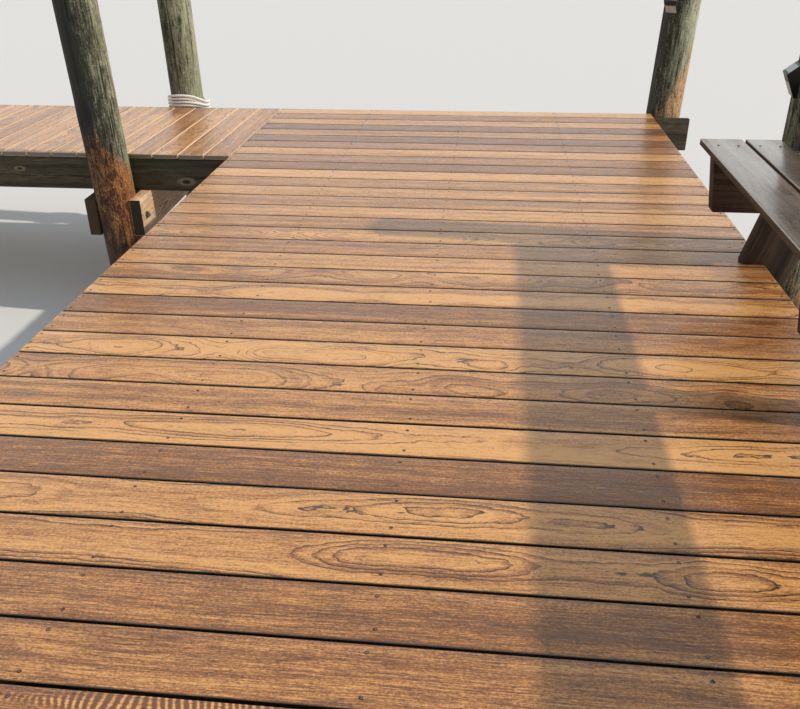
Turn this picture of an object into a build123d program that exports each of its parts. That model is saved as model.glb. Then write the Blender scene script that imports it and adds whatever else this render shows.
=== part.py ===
from build123d import *
import math
import os

# Timber jetty on round piles: a platform, a walkway that joins it, and a built-in bench.
# Millimetres, +Z up. The origin is the centre of the corner pile's foot, at water level.
# +X runs from the corner pile across the platform, +Y from it across the walkway.
# A pile's lean is its sideways run towards +X for each unit of height.

# Decking, one hardwood section for every board
deck_height = 900.0
board_width = 139.7
board_thickness = 25.4
board_gap = 6.35
board_ease = 2.5

# Platform and walkway
platform_width = 2438.4
platform_boards = 55
platform_node_boards = 19
walkway_width = 1219.2
walkway_boards = 39
walkway_node_boards = 20
pile_to_platform = 647.9

# Framing under the boards
stringer_thickness = 38.0
stringer_depth = 184.0
platform_stringers = 5
walkway_stringers = 3
stringer_inset = 10.0
far_header_depth = 203.0
far_header_proud = 13.0
far_header_past_pile = 33.4

# Split caps: two timbers that clasp each pile of a row
cap_thickness = 64.0
cap_depth = 206.0
cap_dap = 14.5
cap_end = 66.0

# Piles: radii are at the walking surface
pile_taper = 0.004
pile_top_bevel = 12.0
pile_radius = 108.0
pile_rise = 1200.0
near_row_gap = 1.2
far_row_gap = 21.0
side_row_gap = 25.6
corner_pile_rise = 1260.0
corner_pile_lean = -0.035
rope_pile_rise = 1130.0
rope_pile_lean = -0.016
rope_pile_shift = -48.0
far_pile_radius = 112.0
far_pile_rise = 1220.0
far_pile_overhang = 100.6
far_pile_seat = 8.0
far_pile_lean = 0.039
hidden_pile_inset = 200.0
platform_end_setback = 276.0
walkway_rows = 3
walkway_end_setback = 182.0

# Bench
bench_length = 2438.4
bench_far_setback = 2540.4
middle_frame_shift = 27.0
bench_board_thickness = 21.0
seat_height = 448.0
seat_front_width = 144.0
seat_back_width = 122.0
seat_gap = 12.0
seat_edge_inset = 14.0
frame_thickness = 62.0
bracket_depth = 210.0
bracket_top_setback = 24.0
bracket_low_setback = 51.0
bracket_reach = 340.0
post_width = 184.0
post_lean = 15.0
post_foot_inset = 84.7
post_tail = 172.0
post_rise = 805.0
post_top_bevel = 20.0
post_pile_gap = 3.0
back_width = 139.7
back_start = 468.0
back_gap = 40.0
back_end_inset = 19.0
back_planks = 2

# Lamps on two piles
lamp_width = 87.2
lamp_brow_depth = 49.0
lamp_brow_height = 78.5
lamp_foot_depth = 12.4
lamp_roof_slope = 39.6
lamp_seat = 12.0
lens_side_margin = 6.6
lens_height = 45.0
lens_depth = 4.0
lens_margin = 10.0
panel_side_margin = 4.0
panel_front_margin = 9.0
panel_back_margin = 3.0
panel_depth = 3.0
far_lamp_height = 594.5
far_lamp_turn = -42.8
bench_lamp_height = 575.4
bench_lamp_turn = -97.0

# Rope wound on the pile beyond the walkway
rope_diameter = 19.0
rope_turns = 4
rope_tilt = 7.0
rope_slack = 6.4
rope_lift = 4.5

# Levels and edges that follow
pitch = board_width + board_gap
frame_top = deck_height - board_thickness
cap_top = frame_top - stringer_depth
cap_middle = cap_top - cap_depth / 2
cap_pair_gap = 2 * (pile_radius - cap_dap)
corner_pile_x = corner_pile_lean * deck_height
cap_line = corner_pile_lean * cap_middle
platform_left = corner_pile_x + pile_to_platform
platform_right = platform_left + platform_width
walkway_near = pile_radius + near_row_gap
far_edge = walkway_near + walkway_width
far_row = far_edge + far_row_gap + pile_radius
near_edge = far_edge - platform_boards * pitch + board_gap
walkway_right = platform_left - board_gap
walkway_left = walkway_right - walkway_boards * pitch + board_gap
header_near_face = far_edge + far_header_proud - stringer_thickness
bench_far = far_edge - bench_far_setback
bench_middle = bench_far - bench_length / 2 + middle_frame_shift
bench_near = bench_far - bench_length
bench_row = bench_far + post_pile_gap + pile_radius
side_pile_x = platform_right + side_row_gap + pile_radius
platform_row_lines = [bench_row, bench_near - post_pile_gap - pile_radius, near_edge + platform_end_setback]
walkway_bay = (cap_line - walkway_left - walkway_end_setback) / (walkway_rows - 1)
seat_back = platform_right - seat_edge_inset
seat_front = seat_back - seat_back_width - seat_gap - seat_front_width
seat_top = deck_height + seat_height
lean_ratio = math.tan(math.radians(post_lean))


def block(x0, x1, y0, y1, z0, z1):
    """A squared timber between two corners."""
    size = Box(x1 - x0, y1 - y0, z1 - z0)
    return Pos((x0 + x1) / 2, (y0 + y1) / 2, (z0 + z1) / 2) * size


def board(length, width=board_width, thickness=board_thickness):
    """A board along +X from the origin, its top at z = 0, with both long top edges eased."""
    half = width / 2
    section = Polyline(
        (0, -half, -thickness),
        (0, half, -thickness),
        (0, half, -board_ease),
        (0, half - board_ease, 0),
        (0, board_ease - half, 0),
        (0, -half, -board_ease),
        close=True,
    )
    return extrude(make_face(section), length, dir=(1, 0, 0))


def platform_board(row):
    """Board number row, counted from the platform's far edge."""
    middle = far_edge - board_width / 2 - row * pitch
    return Pos(platform_left, middle, deck_height) * board(platform_width)


def walkway_board(row):
    """Board number row, counted from the platform along the walkway."""
    middle = walkway_right - board_width / 2 - row * pitch
    return Pos(middle, walkway_near, deck_height) * Rot(0, 0, 90) * board(walkway_width)


def cap_pair_along_y(x, y0, y1):
    """Two caps, one on each side of the piles that stand at x."""
    inner = cap_pair_gap / 2
    outer = inner + cap_thickness
    low = cap_top - cap_depth
    return [block(x - outer, x - inner, y0, y1, low, cap_top), block(x + inner, x + outer, y0, y1, low, cap_top)]


def cap_pair_along_x(y, x0, x1):
    """Two caps, one on each side of the piles that stand at y."""
    inner = cap_pair_gap / 2
    outer = inner + cap_thickness
    low = cap_top - cap_depth
    return [block(x0, x1, y - outer, y - inner, low, cap_top), block(x0, x1, y + inner, y + outer, low, cap_top)]


def round_pile(x, y, head, radius=pile_radius, lean=0.0, seats=()):
    """A tapered pile with a flat foot at z = 0, cut back where other timbers are let into it.

    x, y and radius hold at the walking surface, and head is the height of its top.
    """
    foot_radius = radius + pile_taper * deck_height
    head_radius = radius - pile_taper * (head - deck_height)
    foot = Pos(x - lean * deck_height, y, 0) * Circle(foot_radius)
    top = Pos(x + lean * (head - deck_height), y, head) * Circle(head_radius)
    pile = loft([foot, top])
    if head > deck_height:
        pile = chamfer(pile.edges().sort_by(Axis.Z)[-1], pile_top_bevel)
    for seat in seats:
        pile = pile - seat
    return pile


def seat_plank(front, width):
    """A seat plank from its front edge back."""
    plank = board(bench_length, width, bench_board_thickness)
    return Pos(front + width / 2, bench_near, seat_top) * Rot(0, 0, 90) * plank


def post_inner_x(height):
    """Where the post's inner edge stands at a height above the walking surface."""
    return platform_right - post_foot_inset + lean_ratio * height


def back_plank(row):
    """Back plank number row, counted from the seat, flat against the posts' inner edges."""
    start = back_start + row * (back_width + back_gap) * math.cos(math.radians(post_lean))
    centre_run = back_width / 2
    x = post_inner_x(start) + centre_run * math.sin(math.radians(post_lean))
    z = deck_height + start + centre_run * math.cos(math.radians(post_lean))
    plank = board(bench_length - 2 * back_end_inset, back_width, bench_board_thickness)
    face = Rot(0, post_lean - 90, 0) * Pos(0, 0, bench_board_thickness) * Rot(0, 0, 90) * plank
    return Pos(x, bench_near + back_end_inset, z) * face


def bench_post(far_face):
    """A leaning post, notched so that its heel stands on the boards and its tail hangs outside them."""
    face_width = post_width / math.cos(math.radians(post_lean))
    tail = -post_tail
    outline = Polyline(
        (post_inner_x(0), 0, deck_height),
        (platform_right, 0, deck_height),
        (platform_right, 0, deck_height + tail),
        (post_inner_x(tail) + face_width, 0, deck_height + tail),
        (post_inner_x(post_rise - post_top_bevel) + face_width, 0, deck_height + post_rise - post_top_bevel),
        (post_inner_x(post_rise) + face_width - post_top_bevel, 0, deck_height + post_rise),
        (post_inner_x(post_rise), 0, deck_height + post_rise),
        close=True,
    )
    post = extrude(make_face(outline), frame_thickness, dir=(0, -1, 0))
    return Pos(0, far_face, 0) * post


def bench_bracket(far_face):
    """The seat's bracket, with its front end cut on the slant."""
    top = seat_top - bench_board_thickness
    low = top - bracket_depth
    outline = Polyline(
        (seat_front + bracket_top_setback, 0, top),
        (seat_front + bracket_low_setback, 0, low),
        (seat_front + bracket_low_setback + bracket_reach, 0, low),
        (seat_front + bracket_low_setback + bracket_reach, 0, top),
        close=True,
    )
    bracket = extrude(make_face(outline), frame_thickness, dir=(0, -1, 0))
    return Pos(0, far_face, 0) * bracket


def lamp_place(x, y, radius, height, turn):
    """The frame of a lamp: its back let into the pile's face, its front towards -Y before the turn."""
    depth = radius - lamp_seat
    return Pos(x, y, deck_height + height) * Rot(0, 0, turn) * Pos(0, -depth, 0)


def lamp_housing():
    """A wedge with a front that leans out to a brow and a roof that slopes up from the brow to the pile."""
    roof_rise = lamp_brow_depth * math.tan(math.radians(lamp_roof_slope))
    outline = Polyline(
        (0, 0, 0),
        (0, -lamp_foot_depth, 0),
        (0, -lamp_brow_depth, lamp_brow_height),
        (0, 0, lamp_brow_height + roof_rise),
        close=True,
    )
    body = Pos(-lamp_width / 2, 0, 0) * extrude(make_face(outline), lamp_width, dir=(1, 0, 0))
    return body - lamp_lens() - lamp_panel()


def lamp_lens():
    """The pale lens let into the front."""
    lean = math.degrees(math.atan2(lamp_brow_depth - lamp_foot_depth, lamp_brow_height))
    pane = Box(lamp_width - 2 * lens_side_margin, lens_depth, lens_height)
    raised = Pos(0, lens_depth / 2, lens_margin + lens_height / 2) * pane
    return Pos(0, -lamp_foot_depth, 0) * Rot(lean, 0, 0) * raised


def lamp_panel():
    """The panel let into the sloping roof."""
    clear_roof = (lamp_brow_depth - lamp_seat) / math.cos(math.radians(lamp_roof_slope))
    run = clear_roof - panel_front_margin - panel_back_margin
    pane = Box(lamp_width - 2 * panel_side_margin, run, panel_depth)
    panel = Pos(0, panel_front_margin + run / 2, -panel_depth / 2) * pane
    return Pos(0, -lamp_brow_depth, lamp_brow_height) * Rot(lamp_roof_slope, 0, 0) * panel


def rope_coil():
    """The outer shape of the rope's slack turns, which rest on the walkway's edge and hang lower beyond it."""
    inner = pile_radius + rope_slack
    height = rope_turns * rope_diameter
    ring = Cylinder(inner + rope_diameter, height) - Cylinder(inner, height)
    middle = rope_lift + height / 2
    return Pos(rope_pile_x + rope_pile_lean * middle, far_row, deck_height + middle) * Rot(0, rope_tilt, 0) * ring


nodes = {}


def add(name, solids):
    """Keep a node's solids under its name."""
    nodes[name] = solids if isinstance(solids, list) else [solids]


# Decking
for first in range(0, platform_boards, platform_node_boards):
    rows = range(first, min(first + platform_node_boards, platform_boards))
    add(f"platform_boards_{first // platform_node_boards + 1}", [platform_board(row) for row in rows])
for first in range(0, walkway_boards, walkway_node_boards):
    rows = range(first, min(first + walkway_node_boards, walkway_boards))
    add(f"walkway_boards_{first // walkway_node_boards + 1}", [walkway_board(row) for row in rows])

# Framing
stringer_low = frame_top - stringer_depth
stringer_spacing = (platform_width - stringer_thickness) / (platform_stringers - 1)
stringers = []
for line in range(platform_stringers):
    x0 = platform_left + line * stringer_spacing
    x1 = x0 + stringer_thickness
    y0 = near_edge + stringer_thickness
    stringers.append(block(x0, x1, y0, header_near_face, stringer_low, frame_top))
add("platform_rim_left", stringers[0])
add("platform_inner_stringers", stringers[1:-1])
add("platform_rim_right", stringers[-1])
header_right = platform_right + far_pile_overhang + far_pile_radius + far_header_past_pile
header_low = frame_top - far_header_depth
far_header = block(platform_left, header_right, header_near_face, header_near_face + stringer_thickness, header_low, frame_top)
add("far_header", far_header)
add("near_header", block(platform_left, platform_right, near_edge, near_edge + stringer_thickness, stringer_low, frame_top))
walkway_spacing = (walkway_width - 2 * stringer_inset - stringer_thickness) / (walkway_stringers - 1)
for line in range(walkway_stringers):
    y0 = walkway_near + stringer_inset + line * walkway_spacing
    x0 = walkway_left + stringer_thickness
    solid = block(x0, platform_left, y0, y0 + stringer_thickness, stringer_low, frame_top)
    add(f"walkway_stringer_{line + 1}", solid)
end_near = walkway_near + stringer_inset
end_far = far_edge - stringer_inset
add("walkway_end_header", block(walkway_left, walkway_left + stringer_thickness, end_near, end_far, stringer_low, frame_top))

# Rows of piles with their split caps
rope_pile_x = cap_line + rope_pile_shift + rope_pile_lean * (deck_height - cap_middle)
first_row_turn = math.degrees(math.atan2(-rope_pile_shift, far_row))
walkway_caps = []
for row in range(walkway_rows):
    turn = first_row_turn if row == 0 else 0
    place = Pos(cap_line - row * walkway_bay, 0, 0) * Rot(0, 0, turn)
    caps = [place * cap for cap in cap_pair_along_y(0, -cap_end, far_row + cap_end)]
    walkway_caps.append(caps)
    add(f"walkway_cap_pair_{row + 1}", caps)
platform_caps = []
for row, y in enumerate(platform_row_lines):
    caps = cap_pair_along_x(y, platform_left, side_pile_x + cap_end)
    platform_caps.append(caps)
    add(f"platform_cap_pair_{row + 1}", caps)

corner_head = deck_height + corner_pile_rise
add("corner_pile", round_pile(corner_pile_x, 0, corner_head, lean=corner_pile_lean, seats=walkway_caps[0]))
rope_head = deck_height + rope_pile_rise
add("rope_pile", round_pile(rope_pile_x, far_row, rope_head, lean=rope_pile_lean, seats=walkway_caps[0]))
for row in range(1, walkway_rows):
    x = cap_line - row * walkway_bay
    add(f"walkway_pile_near_{row + 1}", round_pile(x, 0, deck_height + pile_rise, seats=walkway_caps[row]))
    far_pile = round_pile(x, far_row, deck_height + pile_rise, seats=walkway_caps[row])
    add(f"walkway_pile_far_{row + 1}", far_pile)

far_pile_x = platform_right + far_pile_overhang
far_pile_y = header_near_face + stringer_thickness + far_pile_radius - far_pile_seat
far_head = deck_height + far_pile_rise
far_lamp = lamp_place(
    far_pile_x + far_pile_lean * (far_lamp_height + lamp_brow_height / 2),
    far_pile_y,
    far_pile_radius - pile_taper * far_lamp_height,
    far_lamp_height,
    far_lamp_turn,
)
bench_lamp = lamp_place(
    side_pile_x, bench_row, pile_radius - pile_taper * bench_lamp_height, bench_lamp_height, bench_lamp_turn
)
far_seats = [far_header, far_lamp * lamp_housing()]
add("far_right_pile", round_pile(far_pile_x, far_pile_y, far_head, far_pile_radius, far_pile_lean, far_seats))
bench_seats = platform_caps[0] + [bench_lamp * lamp_housing()]
add("bench_pile", round_pile(side_pile_x, bench_row, deck_height + pile_rise, seats=bench_seats))
for row in (1, 2):
    pile = round_pile(side_pile_x, platform_row_lines[row], deck_height + pile_rise, seats=platform_caps[row])
    add(f"platform_pile_right_{row + 1}", pile)
hidden_piles = []
for row, y in enumerate(platform_row_lines):
    hidden_piles.append(round_pile(platform_left + hidden_pile_inset, y, cap_top, seats=platform_caps[row]))
add("platform_piles_left", hidden_piles)

# Bench
add("seat_plank_front", seat_plank(seat_front, seat_front_width))
add("seat_plank_back", seat_plank(seat_back - seat_back_width, seat_back_width))
add("bench_post_1", bench_post(bench_far))
add("bench_bracket_1", bench_bracket(bench_far - frame_thickness))
for frame, end in ((2, bench_middle), (3, bench_near)):
    add(f"bench_bracket_{frame}", bench_bracket(end + 2 * frame_thickness))
    add(f"bench_post_{frame}", bench_post(end + frame_thickness))
add("bench_back", [back_plank(row) for row in range(back_planks)])

# Lamps and rope
add("far_lamp_housing", far_lamp * lamp_housing())
add("bench_lamp_housing", bench_lamp * lamp_housing())
add("lamp_lenses", [far_lamp * lamp_lens(), bench_lamp * lamp_lens()])
add("lamp_panels", [far_lamp * lamp_panel(), bench_lamp * lamp_panel()])
add("mooring_rope", rope_coil())

os.makedirs("parts", exist_ok=True)
for name, solids in nodes.items():
    shape = solids[0] if len(solids) == 1 else Compound(children=solids)
    export_step(shape, f"parts/{name}.step")
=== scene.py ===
import math
import bmesh
import bpy
import numpy as np
from mathutils import Matrix, Vector


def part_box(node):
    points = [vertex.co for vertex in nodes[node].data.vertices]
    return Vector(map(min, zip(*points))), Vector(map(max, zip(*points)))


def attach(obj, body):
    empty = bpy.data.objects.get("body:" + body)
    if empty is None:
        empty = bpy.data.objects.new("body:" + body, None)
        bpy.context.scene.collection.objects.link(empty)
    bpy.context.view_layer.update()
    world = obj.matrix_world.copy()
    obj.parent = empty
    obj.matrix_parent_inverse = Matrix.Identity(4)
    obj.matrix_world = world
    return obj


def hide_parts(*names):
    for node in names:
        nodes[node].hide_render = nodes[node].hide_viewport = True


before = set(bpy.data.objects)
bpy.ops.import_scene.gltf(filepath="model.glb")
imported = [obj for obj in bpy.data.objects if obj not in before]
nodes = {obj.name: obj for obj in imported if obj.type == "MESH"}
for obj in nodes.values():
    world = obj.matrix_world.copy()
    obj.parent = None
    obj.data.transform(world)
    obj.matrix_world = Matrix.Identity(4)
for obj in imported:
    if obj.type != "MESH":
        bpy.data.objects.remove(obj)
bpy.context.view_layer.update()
scene = bpy.context.scene
print("frame loaded:", len(nodes), "nodes")


def placed(name, data):
    # a new object of this data in the scene
    item = bpy.data.objects.new(name, data)
    scene.collection.objects.link(item)
    return item


def pointsOf(mesh):
    points = np.zeros(len(mesh.vertices) * 3)
    mesh.vertices.foreach_get("co", points)
    return points.reshape(-1, 3)


# camera, at the photograph's place: yaw from +Y, pitch down, both in radians

cameraValues = {"place": (2.00912, -4.25688, 2.06958), "yaw": -0.1072, "pitch": 0.4929, "roll": 0.0089,
                "lens": 37.168, "sensor": 36}


def makeCamera():
    # from looking straight down it is rolled about its own line, tipped up to the pitch and turned to the yaw
    v = cameraValues
    data = bpy.data.cameras.new("camera")
    data.sensor_width = v["sensor"]
    data.lens = v["lens"]
    camera = placed("camera", data)
    turns = ((-v["yaw"], "Z"), (math.pi / 2 - v["pitch"], "X"), (-v["roll"], "Z"))
    yaw, pitch, roll = (Matrix.Rotation(angle, 4, axis) for angle, axis in turns)
    camera.matrix_world = Matrix.Translation(v["place"]) @ yaw @ pitch @ roll
    scene.camera = camera


makeCamera()
print("camera placed")


# meshes: points and faces as whole arrays

def gridQuads(rows, columns):
    # each quad joins a point to the next column and the next row, and the last column meets the first
    row, column = np.meshgrid(np.arange(rows - 1) * columns, np.arange(columns), indexing="ij")
    after = (column + 1) % columns
    corners = [row + column, row + after, row + columns + after, row + columns + column]
    return np.stack([corner.ravel() for corner in corners], axis=1)


def tubeQuads(rows, columns):
    # a tube along its rows, closed at both ends by quads from one half of the ring to the other
    first = np.arange(columns // 2 - 1)
    cap = np.stack([first, columns - 1 - first, columns - 2 - first, first + 1], axis=1)
    return np.concatenate([gridQuads(rows, columns)[:, ::-1], cap[:, ::-1], cap + (rows - 1) * columns])


def fanOut(ring, pole):
    # triangles from each point of a ring to the next one and to the pole
    return np.stack([ring, np.roll(ring, -1), np.full(len(ring), pole)], axis=1)


def finishPiece(name, mesh, attributes, material, replaced):
    for key, values in attributes.items():
        layer = mesh.attributes.new(key, "FLOAT_VECTOR", "POINT")
        layer.data.foreach_set("vector", np.asarray(values, np.float32).ravel())
    mesh.polygons.foreach_set("use_smooth", np.ones(len(mesh.polygons), bool))
    mesh.materials.append(material)
    piece = placed(name, mesh)
    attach(piece, "root")
    if replaced:
        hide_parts(*replaced)
    return piece


def makePiece(name, points, faceArrays, attributes, material, replaced=(), slot=None, sharp=40):
    # faceArrays is a list of whole index arrays, of quads or of triangles
    mesh = bpy.data.meshes.new(name)
    faces = [face for array in faceArrays for face in array.tolist()]
    mesh.from_pydata(np.asarray(points).tolist(), [], faces)
    piece = finishPiece(name, mesh, attributes, material, replaced)
    mesh.set_sharp_from_angle(angle=math.radians(sharp))
    return piece


def makeJoined(name, parts, material, node, slot):
    # parts are dictionaries of points, quads and attributes; the later ones' indices move up
    points = np.concatenate([part["points"] for part in parts])
    shifts = np.cumsum([0] + [len(part["points"]) for part in parts[:-1]])
    quads = np.concatenate([part["quads"] + shift for part, shift in zip(parts, shifts)])
    keys = parts[0]["attributes"]
    attributes = {key: np.concatenate([part["attributes"][key] for part in parts]) for key in keys}
    return makePiece(name, points, [quads], attributes, material, [node], slot)


def unitRows(vectors):
    return vectors / np.linalg.norm(vectors, axis=-1, keepdims=True)


# node trees: a Value is what a node gives out, and reckoning with values adds the nodes for it

class Value:
    def __init__(self, socket):
        self.socket, self.tree = socket, socket.id_data

    def __add__(self, other):
        return calc("ADD", self, other)

    def __sub__(self, other):
        return calc("SUBTRACT", self, other)

    def __rsub__(self, other):
        return calc("SUBTRACT", other, self)

    def __mul__(self, other):
        return calc("MULTIPLY", self, other)

    def __truediv__(self, other):
        return calc("DIVIDE", self, other)

    def __abs__(self):
        return calc("ABSOLUTE", self)

    def scaled(self, factor, base):
        # this value times the factor, plus the base
        return calc("MULTIPLY_ADD", self, factor, base)

    def shifted(self, *noises):
        # this value moved by how far each noise value stands from its middle, times its gain
        moved = self
        for value, gain in noises:
            moved = (value - 0.5).scaled(gain, moved)
        return moved

    def spread(self, low, high, newLow=0.0, newHigh=1.0, kind="SMOOTHSTEP"):
        inputs = {"Value": self, "From Min": low, "From Max": high, "To Min": newLow, "To Max": newHigh}
        return add(self.tree, "MapRange", inputs, interpolation_type=kind)

    def between(self, first, second):
        # the first colour where this value is 0, the second one where it is 1
        return mix(self.tree, self, first, second)

    def covered(self, colour, mask, strength=None):
        # this colour with another one over it
        return (mask if strength is None else mask * strength).between(self, colour)

    def stretched(self, scale, shift=(0, 0, 0)):
        return add(self.tree, "Mapping", {"Vector": self, "Scale": scale, "Location": shift})

    def noise(self, scale=1.0, detail=2.0, roughness=0.5, distortion=0.0):
        inputs = {"Scale": scale, "Detail": detail, "Roughness": roughness, "Distortion": distortion}
        return add(self.tree, "TexNoise", {"Vector": self, **inputs}, "Fac")

    def grain(self, along, across, shift=(0, 0, 0), **settings):
        # noise at this place in a piece, finer across the piece than along it
        return self.stretched((along, across, across), shift).noise(**settings)

    def parts(self):
        return [Value(socket) for socket in newNode(self.tree, "SeparateXYZ", {0: self}).outputs]


def linearColour(code):
    # a written sRGB colour as linear values
    parts = np.array([int(code[i:i + 2], 16) for i in (0, 2, 4)]) / 255
    return tuple(np.where(parts <= 0.04045, parts / 12.92, ((parts + 0.055) / 1.055) ** 2.4)) + (1.0,)


def feed(node, inputs):
    for key, value in inputs.items():
        if isinstance(value, Value):
            value.tree.links.new(value.socket, node.inputs[key])
        else:
            node.inputs[key].default_value = linearColour(value) if isinstance(value, str) else value


def newNode(tree, kind, inputs=None, **settings):
    node = tree.nodes.new("ShaderNode" + kind)
    for key, value in settings.items():
        setattr(node, key, value)
    feed(node, inputs or {})
    return node


def add(tree, kind, inputs=None, output=0, **settings):
    return Value(newNode(tree, kind, inputs, **settings).outputs[output])


def calc(operation, *values, clamp=False):
    tree = next(value.tree for value in values if isinstance(value, Value))
    return add(tree, "Math", dict(enumerate(values)), operation=operation, use_clamp=clamp)


def mix(tree, factor, first, second, mode="MIX"):
    return add(tree, "Mix", {0: factor, 6: first, 7: second}, 2, data_type="RGBA", blend_type=mode)


def joined(x, y, z):
    return add(x.tree, "CombineXYZ", {0: x, 1: y, 2: z})


def newMaterial(name, **shaderValues):
    material = bpy.data.materials.new(name)
    material.use_nodes = True
    tree = material.node_tree
    tree.nodes.clear()
    inputs = {key.replace("_", " "): value for key, value in shaderValues.items()}
    shader = newNode(tree, "BsdfPrincipled", inputs)
    newNode(tree, "OutputMaterial", {0: Value(shader.outputs[0])})
    return material, tree, shader


def attributeOf(tree, name):
    return add(tree, "Attribute", None, "Vector", attribute_name=name)


def placeInScene(tree):
    return add(tree, "TexCoord", None, "Object")


def facing(tree):
    return add(tree, "NewGeometry", None, "Normal").parts()


def bump(shader, height, strength, distance):
    inputs = {"Height": height, "Strength": strength, "Distance": distance}
    feed(shader, {"Normal": add(height.tree, "Bump", inputs)})


# growth rings: the distance from a pith line that wanders along the piece, cut into rings of uneven strength;
# Place is along, across and up in the piece, Pith is the pith's place across, its depth and how far it swings

figureOutputs = ("Bold", "Ring Shade", "Lanes", "Streaks", "Fibre", "Grit", "Specks", "Mottle", "Ripple")


def makeFigureGroup():
    tree = bpy.data.node_groups.new("woodFigure", "ShaderNodeTree")
    for key, kind in {"Place": "Vector", "Pith": "Vector", "Ring Spacing": "Float"}.items():
        tree.interface.new_socket(name=key, in_out="INPUT", socket_type="NodeSocket" + kind)
    for key in figureOutputs:
        tree.interface.new_socket(name=key, in_out="OUTPUT", socket_type="NodeSocketFloat")
    place, pith, spacing = [Value(socket) for socket in tree.nodes.new("NodeGroupInput").outputs[:3]]
    along, across, up = place.parts()
    pithAcross, pithDepth, swing = pith.parts()
    side = (across - pithAcross).shifted((place.grain(1.3, 3, detail=1), 0.06))
    rise = (pithDepth + up).shifted((place.grain(3, 4, (7.1, 3.3, 1.9), detail=1), swing))
    radius = calc("SQRT", side.scaled(side, rise * rise)).shifted((place.grain(26, 55, detail=4), 0.009))
    steep = calc("MAXIMUM", abs(side) / radius, 0.32)
    rings = radius / spacing
    part = calc("FRACT", rings)
    ringSeed = joined(calc("FLOOR", rings), pithAcross * 900, 0)
    strength = add(tree, "TexWhiteNoise", {"Vector": ringSeed}, "Value", noise_dimensions="2D")
    inner = (1 - part) * spacing / steep
    outer = part * spacing / steep
    line = calc("MAXIMUM", inner.spread(0.0042, 0.0009), outer.spread(0.0012, 0))
    fade = place.grain(6, 20, (2, 5, 1), detail=3).spread(0.34, 0.5)
    wave = place.grain(5, 9, (1, 2, 8)).scaled(30, across.scaled(40, along * 450))
    streakPlace = joined(along * 6, radius * 170, across * 30)
    values = {
        "Bold": line * strength.spread(0.36, 0.7) * fade,
        "Ring Shade": inner.spread(0.016, 0) * strength.spread(0.1, 0.9, 0.25, 1),
        "Lanes": joined(along * 0.9, radius * 38, across * 9).noise(),
        "Streaks": streakPlace.noise(detail=4, roughness=0.7).spread(0.53, 0.68),
        "Fibre": place.grain(9, 330, detail=4, roughness=0.8),
        "Grit": place.grain(150, 300, (3, 1, 6), detail=3, roughness=0.9),
        "Specks": place.grain(55, 300, (5, 8, 1), roughness=0.6).spread(0.59, 0.67),
        "Mottle": place.grain(9, 24, (4, 9, 2), detail=4, roughness=0.62, distortion=0.5),
        "Ripple": calc("SINE", wave) * place.grain(2, 12, (6, 1, 3)).spread(0.38, 0.6)}
    feed(tree.nodes.new("NodeGroupOutput"), values)
    return tree


figureGroup = makeFigureGroup()


def woodOf(tree, ringSpacing):
    # a piece's place in its grain, its three look values and its figure
    place = attributeOf(tree, "grainPlace")
    group = newNode(tree, "Group", node_tree=figureGroup)
    feed(group, {"Place": place, "Pith": attributeOf(tree, "pith"), "Ring Spacing": ringSpacing})
    wood = {key: Value(group.outputs[key]) for key in figureOutputs}
    return place, attributeOf(tree, "boardLook").parts(), wood


def threeTones(lightness, finish):
    colour = lightness.spread(0, 0.5, kind="LINEAR").between(finish["dark"], finish["middle"])
    return colour.covered(finish["light"], lightness.spread(0.5, 1, kind="LINEAR"))


# the gap colour darkens the boards' edges by grime and painted shade, and the platform boards' sides by
# painted shade
deckFinish = {
    "light": "f2b46e", "middle": "be7f48", "dark": "7a4c29", "line": "35241a", "stain": "713b16",
    "end": "3b2a1e", "gap": "17150f", "paleEdge": "ffe6c8", "roughness": (0.24, 0.4), "ringSpacing": 0.0095,
    "lanes": 0.9, "gains": {"Mottle": 0.65, "Fibre": 2.9, "Grit": 2.6},
    "stains": [((3.0, -1.27, 0.9), 0.26), ((-0.07, 1.30, 0.9), 0.26), ((3.0, -2.37, 0.9), 0.22)]}


def makeDeckMaterial(name, sideShadeOrHighlight, rimGrimeAndShade, endAxis):
    finish = deckFinish
    material, tree, shader = newMaterial(name, IOR=1.5, Coat_Weight=0.4, Coat_Roughness=0.28)
    place, (tone, figure, rippled), wood = woodOf(tree, finish["ringSpacing"])
    mottle = wood["Mottle"]
    plain = 1 - figure * 0.6
    lightness = tone.shifted((wood["Lanes"], tone + finish["lanes"]))
    lightness = lightness.shifted(*((wood[key], gain) for key, gain in finish["gains"].items()))
    lightness = (wood["Ring Shade"] * figure).scaled(-0.6, lightness)
    lightness = (wood["Ripple"] * rippled).scaled(1.3, lightness)
    streaks, specks = (wood[key] * (plain * 0.75) for key in ("Streaks", "Specks"))
    bold = calc("MULTIPLY", wood["Bold"], figure, clamp=True)
    colour = threeTones(lightness, finish).covered(finish["line"], streaks)
    colour = colour.covered(finish["line"], specks).covered(finish["line"], bold, 0.92)
    for spot, reach in finish["stains"]:
        away = add(tree, "VectorMath", {0: placeInScene(tree), 1: spot}, "Value", operation="DISTANCE")
        colour = colour.covered(finish["stain"], away.shifted((mottle, 0.3)).spread(reach, reach * 0.45), 0.5)
    across, height = place.parts()[1:]
    # board edges along the gaps: grime and painted shade
    rim = abs(across).shifted((mottle, 0.006)).spread(0.0664, 0.069)
    colour = colour.covered(finish["gap"], rim, rimGrimeAndShade)
    # board sides: painted shade on the platform, a painted highlight on the walkway
    colour = colour.covered(sideShadeOrHighlight, height.spread(0.0122, 0.0102), 0.95)
    colour = colour.covered(finish["end"], abs(facing(tree)[endAxis]).spread(0.6, 0.9), 0.85)
    rough = mottle.spread(0.35, 0.65, *finish["roughness"])
    feed(shader, {"Base Color": colour, "Roughness": wood["Streaks"].scaled(0.15, rough)})
    relief = wood["Fibre"].scaled(0.9, wood["Grit"] * 0.6)
    bump(shader, relief - (streaks + (bold + wood["Specks"])), 0.45, 0.0009)
    return material


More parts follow.
